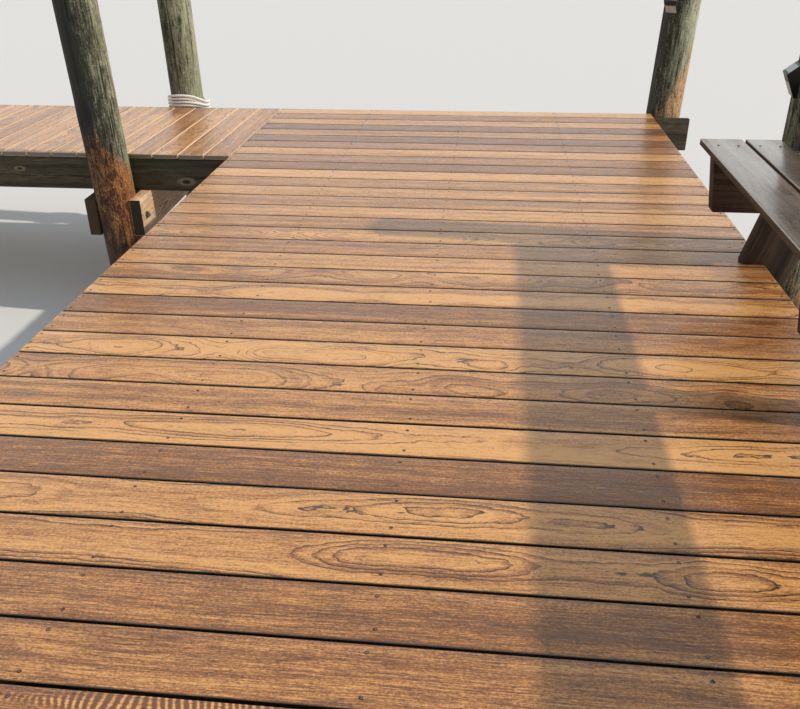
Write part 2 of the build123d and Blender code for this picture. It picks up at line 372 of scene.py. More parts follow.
timberFinishes = {
    "treatedTimber": {
        "light": "8a7d64", "middle": "5c523f", "dark": "2e281e", "line": "1b1711", "end": "4d3d2c",
        "green": "4a4f3a", "mould": 0.5, "roughness": 0.74},
    "freshTimber": {
        # the fresh timber's near-black end colour is painted shade on its end face
        "light": "ffe4c0", "middle": "f4d0a8", "dark": "c49c76", "line": "30241a", "end": "120d08",
        "green": "a3987a", "mould": 0.1, "roughness": 0.65},
    "stainedBench": {
        "light": "d0b9a5", "middle": "a08774", "dark": "4f3c30", "line": "20160f", "end": "35291f",
        # the side colour darkens the bench's faces that don't look up: weathering and painted shade
        "green": "85756a", "mould": 0.25, "roughness": 0.24, "side": "5e4f3a", "sideStrength": 0.9}}
timberFigure = {"ringSpacing": 0.008, "gains": {"Lanes": 1.3, "Mottle": 0.9, "Fibre": 1.2, "Grit": 1.0}}
knotSpots = [((0.345, 0.119, 0.744), 0.026), ((-0.62, 0.119, 0.80), 0.016), ((-1.9, 0.119, 0.74), 0.02)]


def makeTimberMaterial(name, spots=()):
    finish = timberFinishes[name]
    material, tree, shader = newMaterial(name, Coat_Roughness=0.2, Specular_IOR_Level=0.3)
    place, (tone, figure, shaded), wood = woodOf(tree, timberFigure["ringSpacing"])
    mottle = wood["Mottle"]
    lightness = tone.shifted(*((wood[key], gain) for key, gain in timberFigure["gains"].items()))
    lightness = (wood["Ring Shade"] * figure).scaled(-0.3, lightness)
    mould = place.grain(2, 12, (3, 3, 3), detail=4).spread(0.48, 0.66)
    colour = threeTones(lightness, finish).covered(finish["green"], mould, finish["mould"])
    rough = mottle.spread(0.35, 0.65, finish["roughness"], finish["roughness"] + 0.14)
    if "side" in finish:
        # the coat lies on top only; the sides are rougher, and darker by weathering and painted shade
        lower = facing(tree)[2].spread(0.85, 0.3)
        shadedSides = mix(tree, 1.0, colour, finish["side"], "MULTIPLY")
        colour = colour.covered(shadedSides, lower, shaded * finish["sideStrength"])
        rough = lower.scaled(0.45, rough)
        feed(shader, {"Coat Weight": lower.scaled(-1.0, 1.0)})
    bold = calc("MULTIPLY", wood["Bold"], figure, clamp=True)
    colour = colour.covered(finish["line"], wood["Streaks"], 0.6).covered(finish["line"], bold, 0.7)
    for spot, size in spots:
        away = add(tree, "VectorMath", {0: placeInScene(tree), 1: spot}, operation="SUBTRACT")
        away = add(tree, "VectorMath", {0: away.stretched((0.6, 1, 1.4))}, "Value", operation="LENGTH")
        away = away.shifted((mottle, size))
        colour = colour.covered(finish["light"], away.spread(size * 1.6, size), 0.75)
        colour = colour.covered(finish["line"], away.spread(size * 0.8, size * 0.5), 0.9)
    # end faces take the end colour; on the fresh timber that colour is painted shade
    ends = attributeOf(tree, "marks").parts()[0]
    colour = colour.covered(finish["end"], ends.spread(0.6, 0.9), 0.97)
    feed(shader, {"Base Color": colour, "Roughness": rough})
    relief = wood["Fibre"].scaled(0.8, wood["Grit"] * 0.6)
    bump(shader, relief - (wood["Streaks"] + bold), 0.5, 0.0011)
    return material


pileFinish = {"light": "c6c5a6", "middle": "7d7e66", "dark": "27261d", "line": "12100b", "green": "7c8866",
              "worn": "46210c", "wornLight": "cf7b3b", "flake": "f0b272", "wet": "211c14",
              "tan": "7a6148", "tanLight": "f4d0a4"}


def makePileMaterial():
    # marks on the mesh are how far the weather and boats have worn it brown, its checks and its knots
    finish = pileFinish
    material, tree, shader = newMaterial("weatheredPile")
    place = attributeOf(tree, "grainPlace")
    tone, green, pale = attributeOf(tree, "boardLook").parts()
    worn, groove, knot = attributeOf(tree, "marks").parts()
    fibre = place.grain(22, 290, detail=4, roughness=0.7)
    streak = place.grain(5, 80, (3, 0, 0), detail=4, roughness=0.65)
    broad = place.grain(1.4, 9, (0, 4, 0))
    blotch = place.grain(10, 24, (2, 6, 4), detail=5, roughness=0.66, distortion=0.6)
    grit = place.grain(95, 190, (5, 1, 2), detail=4, roughness=0.9)
    curl = abs(place.grain(55, 120, (1, 2, 3), distortion=1.6) - 0.5).spread(0.05, 0.012)
    chips = place.grain(80, 130, (4, 4, 7), detail=3, roughness=0.75)
    seam = abs(place.grain(1.8, 40, (9, 2, 0), detail=3) - 0.5).spread(0.018, 0.005)
    seam = seam * place.grain(4, 22, (1, 7, 5)).spread(0.5, 0.6)
    cracks = calc("MAXIMUM", seam, groove.spread(0.3, 0.8))
    lightness = tone.shifted((streak, 1.9), (fibre, 1.8), (blotch, 1.3), (grit, 2.4), (broad, 0.8))
    mould = calc("MULTIPLY", broad.spread(0.38, 0.62), green, clamp=True)
    colour = threeTones(lightness, finish).covered(finish["green"], mould, lightness.spread(0.1, 0.8))
    rubTone = blotch.shifted((fibre, 1.4), (streak, 0.9), (grit, 2.6)) + tone.scaled(0.55, -0.19)
    rub = rubTone.spread(0.2, 0.85).between(finish["worn"], finish["wornLight"])
    rub = rub.covered(rubTone.spread(0.2, 0.8).between(finish["tan"], finish["tanLight"]), pale)
    rub = rub.covered(finish["worn"], chips.spread(0.47, 0.4, 0, 0.75))
    rub = rub.covered(finish["flake"], curl, blotch.spread(0.44, 0.56, 0, 0.9))
    rub = rub.covered(finish["flake"], chips.spread(0.6, 0.68, 0, 0.85))
    zone = worn.shifted((streak, 1.5), (blotch, 1.3)).spread(0.3, 0.72)
    wet = placeInScene(tree).parts()[2].shifted((streak, 0.4)).spread(0.6, 0.3)
    colour = colour.covered(rub, zone, 0.94).covered(finish["wet"], wet, 0.75)
    colour = colour.covered(finish["line"], knot, 0.85).covered(finish["line"], cracks, 0.9)
    feed(shader, {"Base Color": colour, "Roughness": wet.spread(0, 1, 0.85, 0.5)})
    relief = fibre.scaled(0.6, grit.scaled(0.5, streak + blotch))
    relief = (chips * zone).scaled(1.2, (curl * zone).scaled(0.4, relief))
    bump(shader, relief - cracks, 0.9, 0.005)
    return material


# the platform boards' sides get painted shade, and their edges grime with painted shade
deckMaterial = makeDeckMaterial("platformDecking", deckFinish["gap"], 0.8, 0)
# the walkway boards' sides take a pale painted highlight
walkwayMaterial = makeDeckMaterial("walkwayDecking", deckFinish["paleEdge"], 0.0, 1)
timberMaterial = makeTimberMaterial("treatedTimber", knotSpots)
freshMaterial = makeTimberMaterial("freshTimber")
benchMaterial = makeTimberMaterial("stainedBench")
pileMaterial = makePileMaterial()
print("wood materials made")


# boards and timbers: a rounded rectangle carried along a straight line

endCorner = 0.15  # how much of their corners' easing the end faces keep

def roundedProfile(width, depth, ease, flats=4):
    # the upper half from left to right, then the lower half back, so that point i faces point -1-i
    turn = np.linspace(0, np.pi / 2, 4)
    reach = width / 2 - ease
    corner = np.stack([-np.cos(turn), np.sin(turn)], axis=1) * ease + [-reach, depth / 2 - ease]
    flat = np.stack([np.linspace(-reach, reach, flats + 2)[1:-1], np.full(flats, depth / 2)], axis=1)
    upper = np.concatenate([corner, flat, corner[::-1] * [-1, 1]])
    return np.concatenate([upper, upper[::-1] * [1, -1]])


def barPart(start, end, size, seed, look, pith, stations, bow=0.0, twist=0.0, pithPath=None):
    # points: profile across and up, carried along from start to end, smaller by the ease at both ends;
    # size is width, depth and ease; a pith path is where along the piece the pith comes to which depth
    random = np.random.default_rng(seed)
    width, depth, ease = size
    start, end = np.array(start, float), np.array(end, float)
    length = np.linalg.norm(end - start)
    ahead = (end - start) / length
    side = unitRows(np.cross((0, 0, 1), ahead))
    over = np.cross(ahead, side)
    profile = roundedProfile(width, depth, ease)
    along = np.concatenate([[0], np.linspace(ease, length - ease, stations), [length]])
    cornerScale = np.ones(len(along))
    cornerScale[[0, -1]] = endCorner
    inset = np.clip(np.abs(profile) - ease, 0, None) * np.sign(profile)
    shape = inset + (profile - inset) * cornerScale[:, None, None]
    wave = np.sin(np.pi * along / length)[:, None] * bow * random.uniform(-1, 1)
    lift = np.sin(2 * np.pi * along / length + random.uniform(0, 6))[:, None] * twist
    across = shape[..., 0] + wave
    height = shape[..., 1] - np.abs(lift)
    points = start + along[:, None, None] * ahead + across[..., None] * side + height[..., None] * over
    local = np.stack([np.broadcast_to(along[:, None], across.shape), across, height], axis=-1)
    local = local + [random.uniform(0, 40), 0, 0]
    marks = np.zeros(points.shape)
    marks[[0, -1], :, 0] = 1
    looks, piths = np.tile(look, (*across.shape, 1)), np.tile(pith, (*across.shape, 1))
    if pithPath:
        piths[..., 1] = np.interp(along, *np.array(pithPath).T)[:, None]
    attributes = {"grainPlace": local, "boardLook": looks, "pith": piths, "marks": marks}
    return {"points": points.reshape(-1, 3), "quads": tubeQuads(*across.shape),
            "attributes": {key: values.reshape(-1, 3) for key, values in attributes.items()}}


boardValues = {"size": (0.1397, 0.0254, 0.003), "pitch": 0.14605, "top": 0.9, "twist": 0.0003}
platformValues = {
    "axis": 0, "ends": (0.6164, 3.0548), "edge": 1.3284, "counts": (19, 19, 17), "stations": 26, "seed": 100,
    "bow": 0.001, "tones": "lbgktkbgbdltgtgtgtgtldtlttldggbbdbtgdttgtbtgdgttgdtgttg",
    "cathedral": (16, 19, 20, 23, 24, 26, 28, 29, 36, 40, 43, 47, 51), "rippled": (32, 44),
    "pathPith": (0.004, 0.0, 0.05), "pithPaths": {
        28: [(0.0, 0.012), (0.28, 0.03), (0.53, 0.062), (0.73, 0.06), (0.93, 0.045), (1.08, 0.03),
             (1.23, 0.02), (1.33, 0.015), (1.43, 0.019), (1.68, 0.04), (1.98, 0.07), (2.44, 0.09)],
        29: [(0.0, 0.075), (0.68, 0.07), (0.98, 0.05), (1.13, 0.025), (1.28, 0.014), (1.43, 0.017),
             (1.58, 0.033), (1.73, 0.036), (1.88, 0.016), (1.98, 0.02), (2.44, 0.07)],
        26: [(0.0, 0.04), (0.5, 0.02), (0.8, 0.01), (1.1, 0.03), (1.5, 0.05), (2.44, 0.02)]}}
walkwayValues = {
    "axis": 1, "ends": (0.1092, 1.3284), "edge": 0.61005, "counts": (20, 19), "stations": 8, "seed": 300,
    "bow": 0.0005, "tones": "dtgdtgttgtdtgtgtdtgttdgttgtdtgttgdtgttg",
    "cathedral": (2, 7, 11, 18, 23, 30, 36), "rippled": (), "pithPaths": {}, "evened": (0.5, 0.62)}
toneLevels = {"l": 1.18, "g": 0.88, "t": 0.62, "b": 0.4, "d": 0.27, "k": 0.0}


def boardLook(tone, cathedral, rippled, random):
    # tone, strength of the bold rings and of the ripple; and the pith, under a cathedral board, else aside
    level = toneLevels[tone] + random.uniform(-0.06, 0.06)
    if cathedral:
        ranges = ((-0.03, 0.03), (0.035, 0.06), (0.13, 0.22))
        return (level, 1.0, 0.04), [random.uniform(*ends) for ends in ranges]
    aside = random.choice([-1, 1]) * random.uniform(0.08, 0.2)
    return (level, 0.25, 1.0 if rippled else 0.03), (aside, random.uniform(0.03, 0.09), 0.05)


def boardLines(v):
    # the middle lines of an arm's boards, counted from its edge
    return v["edge"] - boardValues["size"][0] / 2 - np.arange(sum(v["counts"])) * boardValues["pitch"]


def layBoards(name, node, v, material, random):
    # boards side by side, each from one end line to the other; an evened arm has its tones drawn together
    size, parts = boardValues["size"], []
    for index, line in enumerate(boardLines(v)):
        look, pith = boardLook(v["tones"][index], index in v["cathedral"], index in v["rippled"], random)
        if "evened" in v:
            share, middle = v["evened"]
            look = (middle + share * (look[0] - 0.5), *look[1:])
        path = v["pithPaths"].get(index)
        if path:
            pith = v["pathPith"]
        start, end = np.full(3, line), np.full(3, line)
        start[v["axis"]], end[v["axis"]] = v["ends"]
        start[2] = end[2] = boardValues["top"] - size[1] / 2
        parts.append(barPart(start, end, size, v["seed"] + index, look, pith, v["stations"], v["bow"],
                             boardValues["twist"], path))
    for number, (last, count) in enumerate(zip(np.cumsum(v["counts"]), v["counts"]), 1):
        group = parts[last - count:last]
        makeJoined(f"{name}{number}", group, material, f"{node}_{number}", "hardwood_decking")


def makeDeck():
    random = np.random.default_rng(11)
    layBoards("deckBoards", "platform_boards", platformValues, deckMaterial, random)
    layBoards("walkwayBoards", "walkway_boards", walkwayValues, walkwayMaterial, random)


makeDeck()
print("deck boards laid")


timberValues = {
    "ease": 0.004, "capEase": 0.005, "stringer": 0.038, "cap": 0.064, "capOffset": 0.1255,
    "firstRowTurn": 1.886, "capLine": -0.02057, "firstRowEnds": (-0.066, 1.5234),
    "boxed": ["platform_rim_left", "platform_rim_right", "far_header", "near_header", "walkway_stringer_1",
              "walkway_stringer_2", "walkway_stringer_3", "walkway_end_header"]}
firstTurn = math.radians(timberValues["firstRowTurn"])


def camelName(node):
    first, *rest = node.split("_")
    return first + "".join(word.capitalize() for word in rest)


def timberPart(low, high, seed, tone=0.45, ease=timberValues["ease"]):
    # a timber that fills a box, its grain along the box's longest side
    random = np.random.default_rng(seed)
    low, high = np.array(low), np.array(high)
    size = high - low
    axis = int(np.argmax(size[:2]))
    start, end = (low + high) / 2, (low + high) / 2
    start[axis], end[axis] = low[axis], high[axis]
    look = (tone + random.uniform(-0.08, 0.08), 0.8, 0)
    pith = [random.uniform(-reach, reach) for reach in (0.03, 0.1, 0.05)]
    return barPart(start, end, (size[1 - axis], size[2], ease), seed, look, pith, stations=7)


def makeTimber(node, parts, nameEnd="", material=timberMaterial):
    makeJoined(camelName(node) + nameEnd, parts, material, node, "treated_framing")


def makeCapPair(node, axis, row):
    # two timbers at the sides of a row's box; the first row stands turned, a fresh timber beside a grey one
    v = timberValues
    low, high = (np.array(corner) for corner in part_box(node))
    first = node == "walkway_cap_pair_1"
    if first:
        low[0] = v["capLine"] - v["capOffset"] - v["cap"] / 2
        high[0] = v["capLine"] + v["capOffset"] + v["cap"] / 2
        low[1], high[1] = v["firstRowEnds"]
    innerHigh, innerLow = high.copy(), low.copy()
    innerHigh[axis], innerLow[axis] = low[axis] + v["cap"], high[axis] - v["cap"]
    seed = 540 + row * 7 + axis * 31
    parts = [timberPart(*ends, seed + side, 0.4, v["capEase"])
             for side, ends in enumerate(((low, innerHigh), (innerLow, high)))]
    if not first:
        makeTimber(node, parts)
        return
    cosine, sine = math.cos(firstTurn), math.sin(firstTurn)
    spin = np.array([[cosine, -sine], [sine, cosine]])
    for part, side, material in zip(parts, ("Left", "Right"), (timberMaterial, freshMaterial)):
        part["points"][:, :2] = (part["points"][:, :2] - [v["capLine"], 0]) @ spin.T + [v["capLine"], 0]
        makeTimber(node, [part], side, material)


def makeTimbers():
    for number, node in enumerate(timberValues["boxed"]):
        makeTimber(node, [timberPart(*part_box(node), 500 + number)])
    low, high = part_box("platform_inner_stringers")
    half = timberValues["stringer"] / 2
    parts = [timberPart((x - half, low.y, low.z), (x + half, high.y, high.z), 520 + number)
             for number, x in enumerate(np.linspace(low.x + half, high.x - half, 3))]
    makeTimber("platform_inner_stringers", parts)
    for family, axis in (("walkway", 0), ("platform", 1)):
        for row in (1, 2, 3):
            makeCapPair(f"{family}_cap_pair_{row}", axis, row)


makeTimbers()
print("stringers, headers and caps set")


# piles: a radius that changes with angle and height, with checks and knots, carried up a leaning line;
# a check is its angle in degrees, its low and high ends and its width, a knot its angle, height and size,
# a worn place its angle, reach, ends and strength, and the sunny side the angle and gain of painted light and
# shade

pileValues = {
    "corner_pile": {
        "foot": (0.0, 0.0), "lean": -0.035, "head": 2.16, "look": (0.09, 0.4, 0), "seed": 1,
        "sunny": (35, 0.66), "columns": 168, "rows": 130,
        "checks": [(-38, 0.98, 1.16, 0.03), (-30, 1.1, 1.7, 0.02), (-62, 0.35, 0.8, 0.02)],
        "knots": [(-100, 1.17, 0.05), (-128, 1.13, 0.045), (-75, 1.62, 0.02), (-20, 0.6, 0.02)],
        "worn": [(-95, 60, 0.2, 1.0, 1.0), (-25, 50, 0.2, 0.86, 1.0), (-160, 50, 0.2, 0.9, 0.75),
                 (80, 100, 0.2, 0.8, 0.8)]},
    "rope_pile": {
        "foot": (-0.0593, 1.4574), "lean": -0.016, "head": 2.03, "look": (0.37, 0.5, 0), "seed": 2,
        "sunny": (10, 0.42), "checks": [(-95, 1.1, 1.6, 0.025)], "knots": [(-60, 1.45, 0.02)],
        "worn": [(-90, 200, 0.25, 0.6, 0.7)]},
    "far_right_pile": {
        "foot": (3.1203, 1.4454), "lean": 0.039, "radius": 0.112, "head": 2.12, "look": (0.45, 0.25, 0.7),
        "seed": 3, "sunny": (10, 0.66), "checks": [(-80, 1.0, 1.3, 0.02)], "knots": [(-100, 1.08, 0.02)],
        "worn": [(-15, 42, 0.5, 1.3, 0.9), (-55, 45, 0.5, 1.14, 0.85), (-100, 40, 0.5, 1.02, 0.5)]},
    "bench_pile": {
        "foot": (3.1885, -1.101), "head": 2.1, "look": (0.4, 0.3, 0), "seed": 4,
        "checks": [(-130, 0.8, 1.3, 0.025)], "worn": [(-90, 200, 0.25, 0.85, 0.6)]}}
otherPiles = {
    "nodes": [f"platform_pile_right_{n}" for n in (2, 3)]
    + [f"walkway_pile_{side}_{n}" for side in ("near", "far") for n in (2, 3)],
    "look": (0.48, 0.5, 0), "seed": 20, "shape": {"columns": 96, "rows": 64}}
hiddenPiles = {"node": "platform_piles_left", "x": 0.8165, "lines": (-1.101, -3.7614, -6.422),
               "look": (0.45, 0.4, 0), "seed": 40, "shape": {"columns": 80, "rows": 30}}
pileShape = {"radius": 0.108, "bevel": 0.012, "depth": 0.006, "bulge": 0.004, "inset": 0.0028,
             "waves": ((2, 0.0016), (3, 0.0011), (5, 0.0008), (9, 0.0006), (17, 0.0005), (31, 0.0004)),
             "loose": 7, "looseWidth": 0.022, "worn": [(-90, 200, 0.25, 0.85, 0.7)]}


def angleApart(angle, where):
    # how far apart two angles are, the shorter way round
    return np.abs((angle - where + np.pi) % (2 * np.pi) - np.pi)


def makePile(name, node, foot, head, look, seed, lean=0.0, radius=pileShape["radius"], columns=128, rows=90,
             checks=(), knots=(), worn=pileShape["worn"], sunny=(0, 0.15)):
    # points: foot + lean * height + radius * (cos a, sin a); the radius has waves and knots, less its checks
    random = np.random.default_rng(900 + seed)
    angle = np.linspace(0, 2 * np.pi, columns, endpoint=False)
    bevel = pileShape["bevel"]
    height = np.concatenate([[0], np.linspace(0, head - bevel, rows), [head - bevel * 0.3, head, head, head]])
    edge = np.concatenate([[0.5], np.ones(rows), [1 - 0.3 * bevel / radius, 1 - bevel / radius, 0.55, 0.12]])
    surface = np.zeros((len(height), columns))
    for waves, size in pileShape["waves"]:
        drift = random.uniform(-0.5, 0.5)
        surface += size * np.cos(waves * angle + random.uniform(0, 6) + drift * height[:, None])
    groove, knotMask, wornMask = (np.zeros_like(surface) for _ in range(3))
    loose = [(random.uniform(-180, 180), start, start + random.uniform(0.3, 0.8), pileShape["looseWidth"])
             for start in random.uniform(0.1, max(head - 0.6, 0.15), pileShape["loose"])]
    for where, low, high, width in [*checks, *loose]:
        path = math.radians(where) + 0.03 * np.sin(5 * height + random.uniform(0, 6))
        window = np.sin(np.pi * np.clip((height - low) / (high - low), 0, 1))[:, None] ** 0.6
        groove = np.maximum(groove, window * np.exp(-(angleApart(angle, path[:, None]) / width) ** 2))
    for where, level, size in knots:
        apart = angleApart(angle, math.radians(where)) * radius
        away = np.sqrt(apart ** 2 + (0.6 * (height[:, None] - level)) ** 2) / size
        surface += pileShape["bulge"] * np.exp(-away ** 2)
        knotMask = np.maximum(knotMask, np.exp(-(away * 1.2) ** 4))
    for where, reach, low, high, strength in worn:
        apart = np.degrees(angleApart(angle, math.radians(where)))
        window = np.clip((height - low) / 0.12 + 0.5, 0, 1) * np.clip((high - height) / 0.26 + 0.5, 0, 1)
        wornMask = np.maximum(wornMask, strength * window[:, None] * np.exp(-(apart / reach) ** 4))
    body = (edge >= 1)[:, None]
    distance = (radius - pileShape["inset"] + (surface - pileShape["depth"] * groove) * body) * edge[:, None]
    x = foot[0] + lean * height[:, None] + distance * np.cos(angle)
    y = foot[1] + distance * np.sin(angle)
    grid = np.stack([x, y, np.broadcast_to(height[:, None], x.shape)], axis=-1).reshape(-1, 3)
    points = np.concatenate([grid, [[foot[0] + lean * head, foot[1], head], [foot[0], foot[1], 0]]])
    ring = np.arange(columns)
    top = fanOut(len(grid) - columns + ring, len(grid))
    bottom = fanOut(ring, len(grid) + 1)[:, [1, 0, 2]]
    x, y, z = points.T
    local = np.stack([z, x - foot[0] - lean * z, y - foot[1]], axis=1) + random.uniform(0, 9, 3)
    marks = np.zeros((len(points), 3))
    marks[:len(grid)] = np.stack([wornMask, groove * body, knotMask], axis=-1).reshape(-1, 3)
    looks = np.tile(np.array(look, float), (len(points), 1))
    # painted light and shade: the tone is raised on the side turned toward the key light and lowered on the
    # far side
    looks[:len(grid), 0] += sunny[1] * np.tile(np.cos(angle - math.radians(sunny[0])), len(height))
    faces = [gridQuads(len(height), columns), top, bottom]
    attributes = {"grainPlace": local, "boardLook": looks, "marks": marks}
    makePiece(name, points, faces, attributes, pileMaterial, [node], "weathered_pile", sharp=60)


def makePiles():
    for node, values in pileValues.items():
        makePile(camelName(node), node, **values)
    v, h = otherPiles, hiddenPiles
    for number, node in enumerate(v["nodes"]):
        low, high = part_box(node)
        middle = (low + high) / 2
        makePile(camelName(node), node, (middle.x, middle.y), high.z, v["look"], v["seed"] + number,
                 **v["shape"])
    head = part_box(h["node"])[1].z
    for number, y in enumerate(h["lines"]):
        makePile(f"platformPileLeft{number + 1}", h["node"], (h["x"], y), head, h["look"], h["seed"] + number,
                 **h["shape"])


makePiles()
print("piles driven")


# sawn shapes that the CAD node already has: its mesh merged, its edges eased by a bevel

def dressedCopy(node, material, grainAxis, look=(0.5, 0.6, 0), ease=0.003, seed=1):
    random = np.random.default_rng(700 + seed)
    work = bmesh.new()
    work.from_mesh(nodes[node].data)
    bmesh.ops.remove_doubles(work, verts=work.verts, dist=1e-5)
    bmesh.ops.dissolve_limit(work, angle_limit=math.radians(0.5), verts=work.verts, edges=work.edges)
    mesh = bpy.data.meshes.new(camelName(node))
    work.to_mesh(mesh)
    work.free()
    points = pointsOf(mesh)
    ahead = unitRows(np.array(grainAxis, float))
    side = unitRows(np.cross([0, 1, 0] if abs(ahead[1]) < 0.9 else [0, 0, 1], ahead))
    axes = np.stack([ahead, side, np.cross(ahead, side)], axis=1)
    local = (points - points.mean(axis=0)) @ axes + [random.uniform(0, 40), 0, 0]
    pith = [random.uniform(-reach, reach) for reach in (0.04, 0.08, 0.06)]
    attributes = {"grainPlace": local, "boardLook": np.tile(look, (len(points), 1)),
                  "pith": np.tile(pith, (len(points), 1)), "marks": np.zeros((len(points), 3))}
    piece = finishPiece(camelName(node), mesh, attributes, material, [node])
    bevel = piece.modifiers.new("easedEdges", "BEVEL")
    bevel.width = ease
    bevel.segments = 2
    bevel.limit_method = "ANGLE"
    bevel.harden_normals = True


benchValues = {
    "lean": 15.0,
    "frames": {"bench_post_1": 0.4, "bench_post_2": 0.4, "bench_post_3": 0.45,
               "bench_bracket_1": 0.3, "bench_bracket_2": 0.35, "bench_bracket_3": 0.3},
    "planks": {"seat_plank_front": 1.0, "seat_plank_back": 1.0, "bench_back": 0.9}}
benchLean = math.radians(benchValues["lean"])


def makeBench():
    # the number of a frame is its tone, and that of a plank how far its sides are shaded
    for number, (node, tone) in enumerate(benchValues["frames"].items()):
        axis = (math.sin(benchLean), 0, math.cos(benchLean)) if "post" in node else (1, 0, 0)
        dressedCopy(node, benchMaterial, axis, (tone, 0.7, 1.0), 0.004, 10 + number)
    for number, (node, shaded) in enumerate(benchValues["planks"].items()):
        look = (0.55, 0.4, shaded)
        dressedCopy(node, benchMaterial, (0, 1, 0), look, seed=20 + number)


makeBench()
print("bench built")


# lamps

lampValues = {"lampBlack": {"roughness": 0.38, "colours": ("0b0b0b", "22211e"), "scale": 60, "detail": 4},
              "lampLens": {"roughness": 0.25, "colours": ("a29e91", "b6b2a5"), "scale": 45, "detail": 2},
              # the panels' pale blue-grey is a painted reflection of sky glare on a dark panel
              "lampPanel": {"roughness": 0.2, "colours": ("b4babd", "cfd4d6"), "scale": 30, "detail": 2}}


def makeLampMaterial(name):
    v = lampValues[name]
    material, tree, shader = newMaterial(name, Roughness=v["roughness"])
    haze = placeInScene(tree).noise(v["scale"], v["detail"])
    if name == "lampBlack":
        haze = haze.spread(0.45, 0.75)
    feed(shader, {"Base Color": haze.between(*v["colours"])})
    return material


def makeLamps():
    black, lens, panel = (makeLampMaterial(name) for name in lampValues)
    for number, node in enumerate(("far_lamp_housing", "bench_lamp_housing")):
        dressedCopy(node, black, (0, 0, 1), ease=0.0015, seed=30 + number)
    for node, material in (("lamp_lenses", lens), ("lamp_panels", panel)):
        nodes[node].data.materials.clear()
        nodes[node].data.materials.append(material)


makeLamps()
print("lamps hung")


# rope: a spline of its turns, then three strands wound about it

ropeValues = {
    "diameter": 0.019, "centre": (-0.0744, 1.4574), "radius": 0.1265, "level": 0.8936, "rise": 0.0212,
    "turns": 4.15, "start": -0.6, "fan": 0.02, "press": 0.5, "drop": 0.022, "backDrop": 0.006,
    "uneven": 0.0012, "pointsPerTurn": 14, "strands": 3, "layLength": 0.058, "sides": 10}


def ropeRoute():
    # points: centre + radius * (cos a, sin a) at a height that climbs evenly; in front the turns stand on one
    # another, to the right they fan out into two columns and press down, and elsewhere the whole coil sags
    v = ropeValues
    step = np.linspace(0, v["turns"], round(v["turns"] * v["pointsPerTurn"]) + 1)
    angle = 2 * np.pi * step + v["start"]
    right = np.clip(np.cos(angle), 0, 1) ** 2
    column = 0.5 + 0.5 * np.cos(np.pi * (step + v["start"] / (2 * np.pi)))
    radius = v["radius"] + v["fan"] * right * column + v["uneven"] * np.sin(5 * step)
    away = 1 + np.sin(angle)
    sag = v["drop"] * np.tanh(1.2 * away) + v["backDrop"] * away
    height = v["level"] + v["rise"] * step * (1 - v["press"] * right ** 2) - sag
    flat = np.stack([radius * np.cos(angle), radius * np.sin(angle)], axis=1) + v["centre"]
    return np.c_[flat, height]


def splineLine(points):
    data = bpy.data.curves.new("route", "CURVE")
    data.dimensions = "3D"
    data.resolution_u = 8
    spline = data.splines.new("NURBS")
    spline.points.add(len(points) - 1)
    spline.points.foreach_set("co", np.c_[points, np.ones(len(points))].ravel())
    spline.order_u = 3
    spline.use_endpoint_u = True
    route = placed("route", data)
    line = pointsOf(bpy.data.meshes.new_from_object(route))
    bpy.data.objects.remove(route)
    return line


def makeRopeMaterial():
    material, tree, shader = newMaterial("mooringRope", Roughness=0.85)
    fibre = attributeOf(tree, "grainPlace").grain(60, 900)
    dirt = placeInScene(tree).noise(14, 4).spread(0.45, 0.7)
    feed(shader, {"Base Color": fibre.between("f6f0e2", "ffffff").covered("a89482", dirt, 0.12)})
    bump(shader, fibre, 0.6, 0.0008)
    return material


def makeRope():
    # a strand's points: the line + its offset, wound with the way travelled + its own radius * (cos a, sin a)
    v = ropeValues
    line = splineLine(ropeRoute())
    travelled = np.concatenate([[0], np.cumsum(np.linalg.norm(np.diff(line, axis=0), axis=1))])
    ahead = unitRows(np.gradient(line, axis=0))
    side = unitRows(np.cross(ahead, [0, 0, 1.0]))
    over = np.cross(side, ahead)
    strandRadius = v["diameter"] / 2 / (1 + 2 / math.sqrt(3))
    offset = v["diameter"] / 2 - strandRadius
    turn = np.linspace(0, 2 * np.pi, v["sides"], endpoint=False)
    ringAcross, ringUp = strandRadius * np.cos(turn), strandRadius * np.sin(turn)
    ring = ringAcross[:, None] * side[:, None] + ringUp[:, None] * over[:, None]
    parts = []
    for strand in range(v["strands"]):
        wind = 2 * np.pi * (travelled / v["layLength"] + strand / v["strands"])
        centre = line + offset * (np.cos(wind)[:, None] * side + np.sin(wind)[:, None] * over)
        points = centre[:, None] + ring
        local = np.stack(np.broadcast_arrays(travelled[:, None], ringAcross + strand, ringUp), axis=-1)
        parts.append({"points": points.reshape(-1, 3), "quads": tubeQuads(*points.shape[:2]),
                      "attributes": {"grainPlace": local.reshape(-1, 3)}})
    rope = makeJoined("mooringRope", parts, makeRopeMaterial(), "mooring_rope", "mooring_rope")


makeRope()
print("rope wound")
